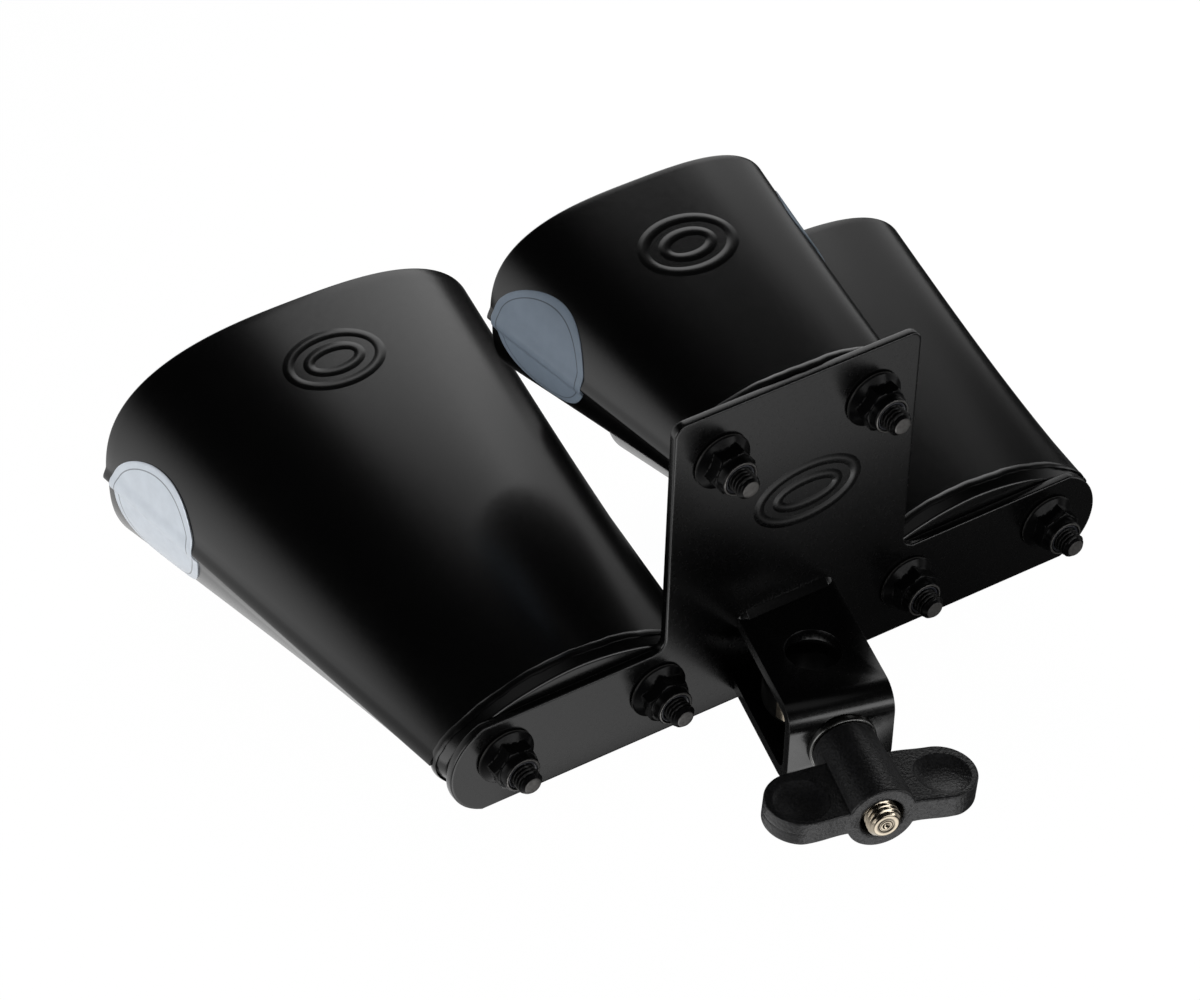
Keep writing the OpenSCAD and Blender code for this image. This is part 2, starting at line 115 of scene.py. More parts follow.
def bell_skin(bell, y, inset, narrower, lip):
    """Rings of a bell's half at distances y: the straight mix of its end section and its mouth section."""
    share = (y / bell["length"])[:, None]
    sections = []
    for width, height, power in (bell["end"], bell["mouth"]):
        half_width = width / 2 - narrower - inset[:, None]
        half_height = height / 2 - inset[:, None]
        sections.append(half_section(half_width, half_height, power, lip))
    x = sections[0][0] * (1 - share) + sections[1][0] * share
    z = sections[0][1] * (1 - share) + sections[1][1] * share
    return np.stack([x, np.broadcast_to(y[:, None], x.shape), z], axis=-1)


def loop_faces(rows, columns, rows_closed=False):
    """Quads of a grid whose columns close into a loop, and whose rows do too where asked."""
    row = np.arange(rows if rows_closed else rows - 1)[:, None]
    column = np.arange(columns)[None, :]
    after = (column + 1) % columns
    start = row * columns
    above = (row + 1) % rows * columns
    corners = [start + column, start + after, above + after, above + column]
    return np.stack(corners, axis=-1).reshape(-1, 4).tolist()


def outward(points, faces):
    """A closed skin with its faces turned so that the volume inside counts as positive."""
    corners = np.array([[face[0], face[1], face[2]] for face in faces])
    sizes = np.array([len(face) for face in faces])
    a, b, c = (points[corners[:, k]] for k in range(3))
    volume = (a * np.cross(b, c)).sum(axis=1)
    quads = np.array([face for face in faces if len(face) == 4]).reshape(-1, 4)
    p, q, r = points[quads[:, 0]], points[quads[:, 2]], points[quads[:, 3]]
    total = volume[sizes <= 4].sum() + (p * np.cross(q, r)).sum()
    return points, faces if total > 0 else [face[::-1] for face in faces]


def in_scene(name, data):
    """An object of some data, linked into the scene."""
    thing = bpy.data.objects.new(name, data)
    bpy.context.scene.collection.objects.link(thing)
    return thing


def make_piece(name, skins, material, body, nodes=(), crease=38.0):
    """One object from closed skins in millimetres, smooth except at edges sharper than the crease angle."""
    points = []
    faces = []
    start = 0
    for skin in skins:
        skin_points, skin_faces = outward(*skin)
        points.append(skin_points)
        faces += [[start + corner for corner in face] for face in skin_faces]
        start += len(skin_points)
    mesh = bpy.data.meshes.new(name)
    mesh.from_pydata((np.concatenate(points) * MM).tolist(), [], faces)
    mesh.polygons.foreach_set("use_smooth", np.ones(len(faces), dtype=bool))
    mesh.set_sharp_from_angle(angle=np.radians(crease))
    mesh.materials.append(material)
    piece = in_scene(name, mesh)
    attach(piece, body)
    if nodes:
        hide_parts(*nodes)
    return piece


def new_finish(name):
    """A material with its node tree, its shader and the piece's own coordinates."""
    finish = bpy.data.materials.new(name)
    finish.use_nodes = True
    tree = finish.node_tree
    place = tree.nodes.new("ShaderNodeTexCoord").outputs["Object"]
    return finish, tree, tree.nodes["Principled BSDF"], place


def speckle(tree, place, per_metre, detail=3.0):
    """Noise with so many grains to the metre."""
    noise = tree.nodes.new("ShaderNodeTexNoise")
    noise.inputs["Scale"].default_value = per_metre
    noise.inputs["Detail"].default_value = detail
    tree.links.new(place, noise.inputs["Vector"])
    return noise.outputs["Fac"]


def spread(tree, value, low, high, start=0.3, stop=0.7):
    """A number that runs from low to high while value runs from start to stop."""
    ranged = tree.nodes.new("ShaderNodeMapRange")
    ranged.inputs["From Min"].default_value = start
    ranged.inputs["From Max"].default_value = stop
    ranged.inputs["To Min"].default_value = low
    ranged.inputs["To Max"].default_value = high
    tree.links.new(value, ranged.inputs["Value"])
    return ranged.outputs["Result"]


def tint(tree, value, low, high, start=0.3, stop=0.7):
    """A colour that runs from low to high while value runs from start to stop."""
    ramp = tree.nodes.new("ShaderNodeValToRGB")
    ramp.color_ramp.elements[0].position = start
    ramp.color_ramp.elements[0].color = (*low, 1.0)
    ramp.color_ramp.elements[1].position = stop
    ramp.color_ramp.elements[1].color = (*high, 1.0)
    tree.links.new(value, ramp.inputs["Fac"])
    return ramp.outputs["Color"]


def relief(tree, shader, height, depth, under=None):
    """Fine relief of a depth in metres, laid over another one where given."""
    bump = tree.nodes.new("ShaderNodeBump")
    bump.inputs["Distance"].default_value = depth
    tree.links.new(height, bump.inputs["Height"])
    if under:
        tree.links.new(under, bump.inputs["Normal"])
    tree.links.new(bump.outputs["Normal"], shader.inputs["Normal"])
    return bump.outputs["Normal"]


def grained(name, dark, pale, patches, glossy, dull, grains):
    """A finish with patches in its colour and grains in its roughness, so many of each to the metre."""
    finish, tree, shader, place = new_finish(name)
    tree.links.new(tint(tree, speckle(tree, place, patches), dark, pale), shader.inputs["Base Color"])
    tree.links.new(spread(tree, speckle(tree, place, grains), glossy, dull), shader.inputs["Roughness"])
    return finish, tree, shader, place


def powder_coat(name, dark, pale, gloss):
    """Satin black powder coat: grain in its roughness, orange peel in its relief."""
    finish, tree, shader, place = grained(name, dark, pale, 60.0, gloss - 0.015, gloss + 0.02, 900.0)
    peel = relief(tree, shader, speckle(tree, place, 900.0, 1.0), 0.0000025)
    relief(tree, shader, speckle(tree, place, 2600.0, 1.0), 0.0000004, peel)
    return finish


def second_finish(piece, finish, where):
    """Gives a piece's first faces a second finish where asked."""
    piece.data.materials.append(finish)
    index = np.zeros(len(piece.data.polygons), dtype=np.int32)
    index[:len(where)] = where
    piece.data.polygons.foreach_set("material_index", index)


bell_coat = powder_coat("bell_coat", (0.0007, 0.0007, 0.0008), (0.0016, 0.0016, 0.0017), 0.25)
# The inside coat is lighter than the outside: a thinner coat, and painted light where few lamps reach.
inner_coat_and_painted_light = powder_coat("inner_coat_and_painted_light", (0.03, 0.03, 0.031), (0.05, 0.05, 0.052), 0.42)

for bell_name, bell in bells.items():
    rim_start = bell["length"] - rim_round
    straight = np.linspace(bell["bend"], rim_start, straight_rows)
    along = np.concatenate([straight, rim_start + rim_round * np.sin(rim_turn)])
    drawn_in = np.concatenate([np.zeros(straight_rows), rim_round * (1 - np.cos(rim_turn))])
    for half, lip, narrower, up in (
        ("upper", lip_reach, 0.0, 1),
        ("lower", 0 * lip_reach, lower_tuck, -1),
    ):
        outer = bell_skin(bell, along, drawn_in, narrower, lip)
        inner = bell_skin(bell, along, sheet - drawn_in, narrower, 0 * lip)
        loop = np.concatenate([outer, inner[:, ::-1]], axis=1)
        rows, columns = loop.shape[:2]
        half_count = columns // 2
        one = np.arange(half_count - 1)
        first_edge = np.stack([one, one + 1, columns - 2 - one, columns - 1 - one], axis=-1)
        last_edge = first_edge + (rows - 1) * columns
        shell_faces = loop_faces(rows, columns) + first_edge[:, ::-1].tolist() + last_edge.tolist()
        points = loop.reshape(-1, 3) * (1, 1, up) + bell["place"]
        node = f"{bell_name}_bell_{half}_shell"
        name = f"{bell_name}_{half}_half"
        shell = make_piece(name, [(points, shell_faces)], bell_coat, "frame", [node])
        column = np.arange((rows - 1) * columns) % columns
        second_finish(shell, inner_coat_and_painted_light, (column >= half_count) & (column < columns - 1))

# Bells, closed ends
# Each closed end is a pressed cap with a bend all round, bolted flat to the plate and coated with the bell.
# A low welded bead joins it to the two halves, a little uneven along its length.
bead_half_width = 1.2
bead_height = 0.25
bead_sunk = 0.06
bead_foot = 0.7
corner_round = 0.9
corner_slope = np.radians(20)
round_turn = np.linspace(0, 2 * np.pi, 240, endpoint=False)
bend_turn = np.linspace(0, np.pi / 2, 9)
corner_turn = np.linspace(corner_slope, np.pi / 2, 9)
bead_across = np.linspace(-1, 1, 11)
foot_across = np.array([0.8, 0.0, -0.8])
shrink = np.linspace(1, 0.03, 6)[1:]
squeeze = np.stack([shrink, 0 * shrink + 1, shrink], axis=-1)[:, None, :]


def bell_point(bell, turn, y, inset=0.0):
    """Skin of a bell at a turn and a distance, drawn in by an inset: its end and mouth sections mixed."""
    share = y / bell["length"]
    sections = []
    for width, height, power in (bell["end"], bell["mouth"]):
        sections.append(squared_ellipse(width / 2 - inset, height / 2 - inset, power, turn))
    x = sections[0][0] * (1 - share) + sections[1][0] * share
    z = sections[0][1] * (1 - share) + sections[1][1] * share
    return np.stack([x, np.broadcast_to(y, x.shape), z], axis=-1)


def weld_bead(bell):
    """A low rounded bead carried round the joint: its height and place waver with sines of the turn."""
    ring = bell_point(bell, round_turn, bell["bead"])
    tangent = np.roll(ring, -1, axis=0) - np.roll(ring, 1, axis=0)
    out = np.stack([tangent[:, 2], 0 * tangent[:, 0], -tangent[:, 0]], axis=-1)
    out /= np.linalg.norm(out, axis=1)[:, None]
    waver = 0.16 * np.sin(7 * round_turn + 0.6)
    waver += 0.1 * np.sin(17 * round_turn) + 0.06 * np.sin(41 * round_turn)
    swell = 1 + 0.12 * np.sin(11 * round_turn + 1.1) + 0.03 * np.sin(37 * round_turn)
    top = bead_height * (1 - bead_across**2)[None, :] * swell[:, None] - bead_sunk
    under = np.full((len(round_turn), len(foot_across)), -bead_foot)
    rise = np.concatenate([top, under], axis=1)
    points = ring[:, None, :] + out[:, None, :] * rise[..., None]
    points[..., 1] += np.concatenate([bead_across, foot_across]) * bead_half_width + waver[:, None]
    return points


def tube(rings, rows_closed=False):
    """A closed skin over rings of points: the last ring meets the first, or a face closes each end."""
    rows, columns = rings.shape[:2]
    faces = loop_faces(rows, columns, rows_closed)
    if not rows_closed:
        last = (rows - 1) * columns
        faces += [list(range(columns))[::-1], list(range(last, last + columns))]
    return rings.reshape(-1, 3), faces


for bell_name, bell in bells.items():
    bend = bell["bend"]
    bend_in = bend - sheet
    slope_run = bend - corner_round * (1 - np.sin(corner_slope))
    slope_drop = slope_run * np.tan(corner_slope)
    corner_place = corner_round * (1 - np.sin(corner_turn))
    corner_inset = slope_drop + corner_round * (np.cos(corner_slope) - np.cos(corner_turn))
    outside_place = np.concatenate([[bend, bend - slope_run / 2], corner_place])
    outside_inset = np.concatenate([[0.0, slope_drop / 2], corner_inset])
    outside = bell_point(bell, round_turn, outside_place[:, None], outside_inset[:, None])
    inside_place = bend - bend_in * np.sin(bend_turn)
    inside_inset = sheet + bend_in * (1 - np.cos(bend_turn))
    inside = bell_point(bell, round_turn, inside_place[:, None], inside_inset[:, None])
    front = outside[-1] * squeeze
    back = inside[-1] * squeeze
    rings = np.concatenate([front[::-1], outside[::-1], inside, back])
    cap_skin = tube(rings + bell["place"])
    bead_skin = tube(weld_bead(bell) + bell["place"], rows_closed=True)
    node = f"{bell_name}_bell_end_cap"
    name = f"{bell_name}_closed_end"
    cap = make_piece(name, [cap_skin, bead_skin], bell_coat, "frame", [node])
    cap_row = np.arange(len(cap_skin[1])) // len(round_turn)
    cap_row[-2:] = (0, len(rings))
    second_finish(cap, inner_coat_and_painted_light, cap_row >= len(front) + len(outside))

# Pressed ovals
# The low and high bells have small oval beads pressed up into the sheet near the mouth, and so has the plate.
# They are part of the sheet, under the same coat, and stand about a quarter of a millimetre proud.
oval_half_width = 1.7
oval_height = 0.26
oval_sunk = 0.05
oval_foot = 0.6
inner_shorter = 5
inner_narrower = 4
oval_turn = np.linspace(0, 2 * np.pi, 160, endpoint=False)
oval_across = np.linspace(-1, 1, 11)
foot_share = np.array([0.7, 0.0, -0.7])


def on_bell(bell, axis, value, y, low_turn, high_turn):
    """Point and outward direction of a bell's skin where a coordinate has a value. Halving finds the turn.

    The direction is the cross product of small steps along the turn and along the bell.
    """
    low = np.full_like(value, low_turn)
    high = np.full_like(value, high_turn)
    for _ in range(40):
        middle = (low + high) / 2
        below = bell_point(bell, middle, y)[..., axis] < value
        low = np.where(below, middle, low)
        high = np.where(below, high, middle)
    step = 0.0005
    point = bell_point(bell, low, y)
    by_turn = bell_point(bell, low + step, y) - point
    by_length = bell_point(bell, low, y + step) - point
    out = np.cross(by_turn, by_length)
    out /= np.linalg.norm(out, axis=-1)[..., None]
    outer_axis = 2 - axis
    return point, out * np.sign(out[..., outer_axis:outer_axis + 1])


def oval_bead(surface, half_length, half_depth):
    """A rounded bead carried round an oval on a surface, its foot sunk into the sheet."""
    across = np.concatenate([oval_across, foot_share]) * oval_half_width
    top = oval_height * (1 - oval_across**2) ** 1.5 - oval_sunk
    rise = np.concatenate([top, np.full_like(foot_share, -oval_foot)])
    a = (half_length + across)[None, :] * np.cos(oval_turn)[:, None]
    b = (half_depth + across)[None, :] * np.sin(oval_turn)[:, None]
    point, out = surface(a, b)
    return point + out * rise[None, :, None]


def plate_surface(middle_x, middle_z):
    """The plate's front as a surface of two distances from a middle."""
    def surface(a, b):
        point = np.stack([middle_x + a, np.full_like(a, plate_front), middle_z + b], axis=-1)
        return point, np.broadcast_to(np.array([0.0, -1.0, 0.0]), point.shape)
    return surface


def top_surface(bell, middle_x, middle_y):
    """A bell's top as a surface of two distances from a middle, in the part's frame."""
    def surface(a, b):
        point, out = on_bell(bell, 0, middle_x + a, middle_y + b, np.pi, 0.0)
        return point + bell["place"], out
    return surface


plate_coat = powder_coat("plate_coat", (0.0007, 0.0007, 0.0008), (0.0016, 0.0016, 0.0017), 0.26)
for oval_name, surface, half_length, half_depth, coat, slot in (
    ("low_bell_oval", top_surface(bells["low"], -0.5, 103.0), 11.5, 7.5, bell_coat, "bell_coat"),
    ("high_bell_oval", top_surface(bells["high"], 0.3, 42.4), 10.8, 7.5, bell_coat, "bell_coat"),
    ("plate_oval", plate_surface(plate_middle + 4.0, 41.4), 13.0, 7.5, plate_coat, "plate_coat"),
):
    outer = oval_bead(surface, half_length, half_depth)
    inner = oval_bead(surface, half_length - inner_shorter, half_depth - inner_narrower)
    skins = [tube(outer, rows_closed=True), tube(inner, rows_closed=True)]
    make_piece(oval_name, skins, coat, "frame")

# Side labels
# Thin round vinyl labels are stuck over the side seams near the mouth, silver on the low bell and on the high
# one a darker grey that is painted shade. They drape over the lip, and their printed side is plain with one
# fine ring.
label_thickness = 0.14
label_sunk = 0.5
drape_start = 0.9
drape_run = 3.2
tuck_run = 3.0
ring_start = 0.87
ring_stop = 0.89
ring_tone = 0.43
label_turn = np.linspace(0, 2 * np.pi, 120, endpoint=False)
top_share = np.concatenate([np.linspace(0.02, 0.985, 36), [1.0]])
top_rise = np.full_like(top_share, label_thickness)
top_rise[-1] = label_thickness * 0.4
label_share = np.concatenate([top_share, top_share[::-1]])
label_rise = np.concatenate([top_rise, np.full_like(top_share, -label_sunk)])


def stored(tree, name):
    """A number stored at each of a piece's points, for its material."""
    attribute = tree.nodes.new("ShaderNodeAttribute")
    attribute.attribute_name = name
    return attribute.outputs["Fac"]


def store(piece, name, values):
    """Stores a number at each of a piece's points under a name."""
    attribute = piece.data.attributes.new(name, "FLOAT", "POINT")
    attribute.data.foreach_set("value", np.ravel(values))


def even(values, turn):
    """Rows of numbers that are the same at every turn, one row for each value."""
    return np.tile(np.array(values, dtype=float)[:, None], (1, len(turn)))


def printed_vinyl(name, pale, metal, shine):
    """Printed film of one colour, with a fine darker ring near its edge."""
    finish, tree, shader, place = new_finish(name)
    ring = tree.nodes.new("ShaderNodeValToRGB")
    ring.color_ramp.interpolation = "CONSTANT"
    ring.color_ramp.elements[0].color = (*pale, 1.0)
    ring.color_ramp.elements[1].position = ring_start
    ring.color_ramp.elements[1].color = (*(ring_tone * part for part in pale), 1.0)
    ring.color_ramp.elements.new(ring_stop).color = (*pale, 1.0)
    tree.links.new(stored(tree, "label_reach"), ring.inputs["Fac"])
    shade = tree.nodes.new("ShaderNodeMix")
    shade.data_type = "RGBA"
    shade.blend_type = "MULTIPLY"
    shade.inputs["Factor"].default_value = 1.0
    tree.links.new(ring.outputs["Color"], shade.inputs["A"])
    tree.links.new(tint(tree, speckle(tree, place, 300.0), (0.93, 0.93, 0.93), (1, 1, 1)), shade.inputs["B"])
    tree.links.new(shade.outputs["Result"], shader.inputs["Base Color"])
    shader.inputs["Metallic"].default_value = metal
    shader.inputs["Specular IOR Level"].default_value = shine
    tree.links.new(spread(tree, speckle(tree, place, 700.0), 0.32, 0.42), shader.inputs["Roughness"])
    relief(tree, shader, speckle(tree, place, 150.0, 1.0), 0.00002)
    return finish


def drape(z, out):
    """How far a label stands off the upper flank's surface: eased over the lip, and tucked in below it."""
    over = lip_out * (1 - smooth((z - drape_start) / drape_run))
    tuck = lower_tuck * np.abs(out[..., 0])
    under = lip_out - (lip_out + tuck) * smooth(-z / tuck_run)
    return np.where(z > 0, over, under)


silver_vinyl = printed_vinyl("silver_vinyl", (0.65, 0.7, 0.76), 0.6, 0.5)
# The high bell's labels are a darker copy of the low one's, with painted shade from the bells around them.
shaded_label_vinyl = printed_vinyl("shaded_label_vinyl", (0.24, 0.295, 0.365), 0.0, 0.25)
for label_name, vinyl, bell_name, side, middle_y, middle_z, half_length, half_height in (
    ("low_left_label", silver_vinyl, "low", -1, 105.4, -1.8, 16.0, 15.2),
    ("high_left_label", shaded_label_vinyl, "high", -1, 47.8, 1.5, 15.2, 12.8),
    ("high_right_label", shaded_label_vinyl, "high", 1, 47.8, 1.5, 15.2, 12.8),
):
    bell = bells[bell_name]
    y = middle_y + half_length * label_share[:, None] * np.cos(label_turn)
    z = middle_z + half_height * label_share[:, None] * np.sin(label_turn)
    point, out = on_bell(bell, 2, z, y, -np.pi / 2, np.pi / 2)
    rings = point + out * (drape(z, out) + label_rise[:, None])[..., None]
    rings = rings * (side, 1, 1) + bell["place"]
    label = make_piece(label_name, [tube(rings)], vinyl, "frame")
    store(label, "label_reach", even(label_share, label_turn))

# Mounting plate
# One flat steel plate, laser cut to a bar with an upright tab, edges broken and powder coated satin black.
# The three bells are bolted to its back, and the nuts' flanges cover its holes.
bar_middle = -1.75
bar_half = 12.35
bar_top = bar_middle + bar_half
bar_end_round = 13.3
bar_end_x = 74.7
bar_end_turn = np.arcsin(bar_half / bar_end_round)
tab_half = 32.4
tab_top = 75.3
tab_corner = 3.0
inner_corner = 3.4
plate_edge = 0.45
edge_land = 0.3


def outline_arc(middle, radius, start, stop, count, hollow=False):
    """Points of an arc with their outward directions, which point to the arc's middle where it is hollow."""
    turn = np.linspace(start, stop, count)
    out = np.column_stack([np.cos(turn), np.sin(turn)])
    return np.array(middle) + radius * out, -out if hollow else out


end_points, end_out = outline_arc((bar_end_x, bar_middle), bar_end_round, -bar_end_turn, bar_end_turn, 41)
bar_out = np.array([[0.0, -1.0], [0.0, 1.0]])
both_out = end_out[[0, -1]] + bar_out
end_out[[0, -1]] = both_out / (both_out * bar_out).sum(axis=1)[:, None]
inner_middle = (tab_half + inner_corner, bar_top + inner_corner)
tab_middle = (tab_half - tab_corner, tab_top - tab_corner)
right_half = [
    (end_points, end_out),
    outline_arc(inner_middle, inner_corner, 1.5 * np.pi, np.pi, 13, hollow=True),
    outline_arc(tab_middle, tab_corner, 0, np.pi / 2, 13),
]
right_points = np.concatenate([points for points, _ in right_half])
right_out = np.concatenate([out for _, out in right_half])
outline = np.concatenate([right_points, right_points[::-1] * (-1, 1)])
outline_out = np.concatenate([right_out, right_out[::-1] * (-1, 1)])
edge_turn = np.linspace(0, np.pi / 2, 5)
edge_inset = np.concatenate([[plate_edge + edge_land], plate_edge * (1 - np.sin(edge_turn))])
edge_depth = np.concatenate([[0.0], plate_edge * (1 - np.cos(edge_turn))])
plate_inset = np.concatenate([edge_inset, edge_inset[::-1]])
plate_depth = np.concatenate([plate_front + edge_depth, plate_back - edge_depth[::-1]])
flat = outline[None] - outline_out[None] * plate_inset[:, None, None]
depth = np.broadcast_to(plate_depth[:, None], flat.shape[:2])
rings = np.stack([plate_middle + flat[..., 0], depth, flat[..., 1]], axis=-1)
make_piece("bell_plate", [tube(rings)], plate_coat, "frame", ["mounting_plate"])

# Bell bolts
# Six hexagon bolts of black oxide steel hold the bells, heads inside them and threaded ends out of the plate.
# The thread is rolled, and the cut ends show paler steel.
bolt_half_gap = 20.0
bolt_radius = 3.0
bolt_pitch = 1.0
bolt_reach = 11.4
bolt_chamfer = 0.9
thread_start = -1.0
shank_end = -1.4
shank_radius = 2.95
head_seat = -(plate_back - plate_front + sheet)
head_height = 4.0
head_flats = 10.0
head_corner = head_flats / 2 / np.cos(np.pi / 6)
crest_depth = 0.12
crest_wear = 0.1
cut_wear = 0.42
bolt_turn = np.linspace(0, 2 * np.pi, 72, endpoint=False)


def joined(tree, operation, first, second):
    """Two numbers added, multiplied or compared."""
    math = tree.nodes.new("ShaderNodeMath")
    math.operation = operation
    tree.links.new(first, math.inputs[0])
    tree.links.new(second, math.inputs[1])
    return math.outputs["Value"]


bolt_black, tree, shader, place = new_finish("bolt_black")
patchy = spread(tree, speckle(tree, place, 1500.0), 0.55, 1.0)
# Black turns to paler steel where the stored number rises: wear on bolt crests and cut ends, and partly wear,
# partly painted highlight lines on nut rims and collars.
worn_and_highlit = joined(tree, "MULTIPLY", stored(tree, "wear_and_highlight"), patchy)
black_to_steel = tint(tree, worn_and_highlit, (0.003, 0.003, 0.0032), (0.3, 0.29, 0.28), 0.0, 1.0)
tree.links.new(black_to_steel, shader.inputs["Base Color"])
tree.links.new(spread(tree, worn_and_highlit, 0.0, 0.9, 0.0, 1.0), shader.inputs["Metallic"])
tree.links.new(spread(tree, speckle(tree, place, 1200.0), 0.2, 0.27), shader.inputs["Roughness"])
shader.inputs["Specular IOR Level"].default_value = 0.08
relief(tree, shader, speckle(tree, place, 2200.0, 1.0), 0.000003)


def thread_rows(radius, pitch, start, end, chamfer, turn):
    """Heights and radii of a threaded rod: a ridge that climbs one pitch a turn, cut down at its chamfer."""
    height = np.linspace(start, end, int((end - start) / pitch * 12))
    phase = (height[:, None] / pitch - turn[None, :] / (2 * np.pi)) % 1.0
    ridge = np.clip(2.6 * np.abs(phase - 0.5) - 0.15, 0, 1)
    run_in = np.clip((height[:, None] - start) / pitch, 0, 1)
    cut = radius - np.clip(height[:, None] - (end - chamfer), 0, None)
    return height, np.minimum(radius - 0.55 * pitch * ridge * run_in, cut)


def hexagon(flats, turn):
    """Radius of a hexagon of a width across flats at a turn."""
    return flats / 2 / np.cos((turn + np.pi / 6) % (np.pi / 3) - np.pi / 6)


def turned(height, radius, turn):
    """Rings at heights, with a radius for each ring and turn, as points along an upright axis."""
    x = radius * np.cos(turn)
    y = radius * np.sin(turn)
    return np.stack([x, y, np.broadcast_to(np.array(height)[:, None], x.shape)], axis=-1)


def out_of_plate(points, bell, sign, twist):
    """Points along an upright axis laid along a bell's bolt, twisted about it, out of the plate."""
    x = points[..., 0] * np.cos(twist) - points[..., 1] * np.sin(twist)
    z = points[..., 0] * np.sin(twist) + points[..., 1] * np.cos(twist)
    across = plate_middle + bell["x"] + sign * bolt_half_gap
    return np.stack([across + x, plate_front - points[..., 2], bell["row"] + z], axis=-1)


head_rows = head_seat - head_height * np.array([1, 1, 1, 0.97, 0.9, 0.82, 0.74, 0.1, 0.02, 0.0, 0.0])
head_cut = np.array([0.1, 3.6, 4.55, 4.85, 5.2, 5.5, head_corner, head_corner, head_corner - 0.05,
                     head_corner - 0.12, 3.2])
head_radius = np.minimum(head_cut[:, None], hexagon(head_flats, bolt_turn)[None, :])
thread_height, thread_radius = thread_rows(
    bolt_radius, bolt_pitch, thread_start, bolt_reach, bolt_chamfer, bolt_turn)
end_height = bolt_reach + np.array([0.05, 0.08, 0.08, 0.08])
end_radius = even(np.array([0.97, 0.85, 0.5, 0.03]) * thread_radius[-1].min(), bolt_turn)
bolt_height = np.concatenate([head_rows, [shank_end], thread_height, end_height])
bolt_rows = np.concatenate([head_radius, even([shank_radius], bolt_turn), thread_radius, end_radius])
bolt_rings = turned(bolt_height, bolt_rows, bolt_turn)
crest = np.clip((thread_radius - (bolt_radius - crest_depth)) / crest_depth, 0, 1) * crest_wear
unworn = even(np.zeros(len(head_rows) + 1), bolt_turn)
bolt_wear = np.concatenate([unworn, crest, even(np.full(len(end_height), cut_wear), bolt_turn)])
bolt_sides = (("left", -1), ("right", 1))
stations = [(name, bell, side, sign) for name, bell in bells.items() for side, sign in bolt_sides]
for index, (bell_name, bell, side, sign) in enumerate(stations):
    rings = out_of_plate(bolt_rings, bell, sign, 0.7 * index)
    bolt = make_piece(f"{bell_name}_{side}_bolt", [tube(rings)], bolt_black, "frame",
                      [f"{bell_name}_bolt_{side}"], 50.0)
    store(bolt, "wear_and_highlight", bolt_wear)

# Flange nuts
# Locking nuts of black oxide steel: a round flange with a cone, a chamfered hexagon and a rolled-in collar.
# They draw the bolts tight against the plate's front.
flange_radius = 7.1
rim_half = 0.55
cone_height = 1.5
nut_flats = 10.0
nut_corner = nut_flats / 2 / np.cos(np.pi / 6)
hex_top = 5.4
hex_chamfer = 0.9
collar_radius = 4.5
collar_top = 7.6
collar_round = 0.5
lock_radius = 3.9
lock_height = 1.6
bore = 3.1
rim_wear_and_highlight = 0.4
collar_wear_and_highlight = 0.7
nut_turn = np.linspace(0, 2 * np.pi, 120, endpoint=False)

round_rim = np.linspace(-np.pi / 2, np.pi / 3, 9)
rim_height = rim_half + rim_half * np.sin(round_rim)
rim_radius = flange_radius - rim_half + rim_half * np.cos(round_rim)
body_height = np.linspace(rim_height[-1], hex_top, 26)
slope = np.clip((body_height - body_height[0]) / cone_height, 0, 1.2)
cone = rim_radius[-1] + (nut_flats / 2 - 0.3 - rim_radius[-1]) * slope
top_cut = nut_corner - np.clip(body_height - (hex_top - hex_chamfer), 0, None) ** 2 * 1.1
body_radius = np.maximum(cone[:, None], np.minimum(hexagon(nut_flats, nut_turn), top_cut[:, None]))
rolled = np.linspace(0, np.pi * 0.9, 10)
step_height = np.array([hex_top, hex_top + 0.25])
step_radius = np.array([4.62, collar_radius])
collar_height = collar_top - collar_round + collar_round * np.sin(rolled)
collar_reach = collar_radius - collar_round + collar_round * np.cos(rolled)
bore_height = np.array([collar_top - 0.7, collar_top - lock_height, collar_top - lock_height, 0.4, 0.0])
bore_radius = np.array([lock_radius, lock_radius, bore, bore, 3.5])
nut_height = np.concatenate([rim_height, body_height, step_height, collar_height, bore_height])
plain_radius = np.concatenate([step_radius, collar_reach, bore_radius])
nut_rows = np.concatenate([even(rim_radius, nut_turn), body_radius, even(plain_radius, nut_turn)])
nut_rings = turned(nut_height, nut_rows, nut_turn)
# The flange's rim and the collar's rolled edge are painted bright steel: partly rubbed wear, partly a painted
# highlight line round each.
rim_rub_and_highlight = rim_wear_and_highlight * np.exp(-((round_rim / 0.25) ** 2))
collar_rub_and_highlight = collar_wear_and_highlight * np.exp(-(((rolled - 1.3) / 0.3) ** 2))
between = np.zeros(len(body_height) + len(step_height))
nut_wear_and_highlight = np.concatenate([rim_rub_and_highlight, between, collar_rub_and_highlight, np.zeros(len(bore_height))])
for index, (bell_name, bell, side, sign) in enumerate(stations):
    rings = out_of_plate(nut_rings, bell, sign, 0.35 + 1.9 * index)
    nut = make_piece(f"{bell_name}_{side}_nut", [tube(rings, rows_closed=True)], bolt_black, "frame",
                     [f"{bell_name}_nut_{side}"])
    store(nut, "wear_and_highlight", even(nut_wear_and_highlight, nut_turn))

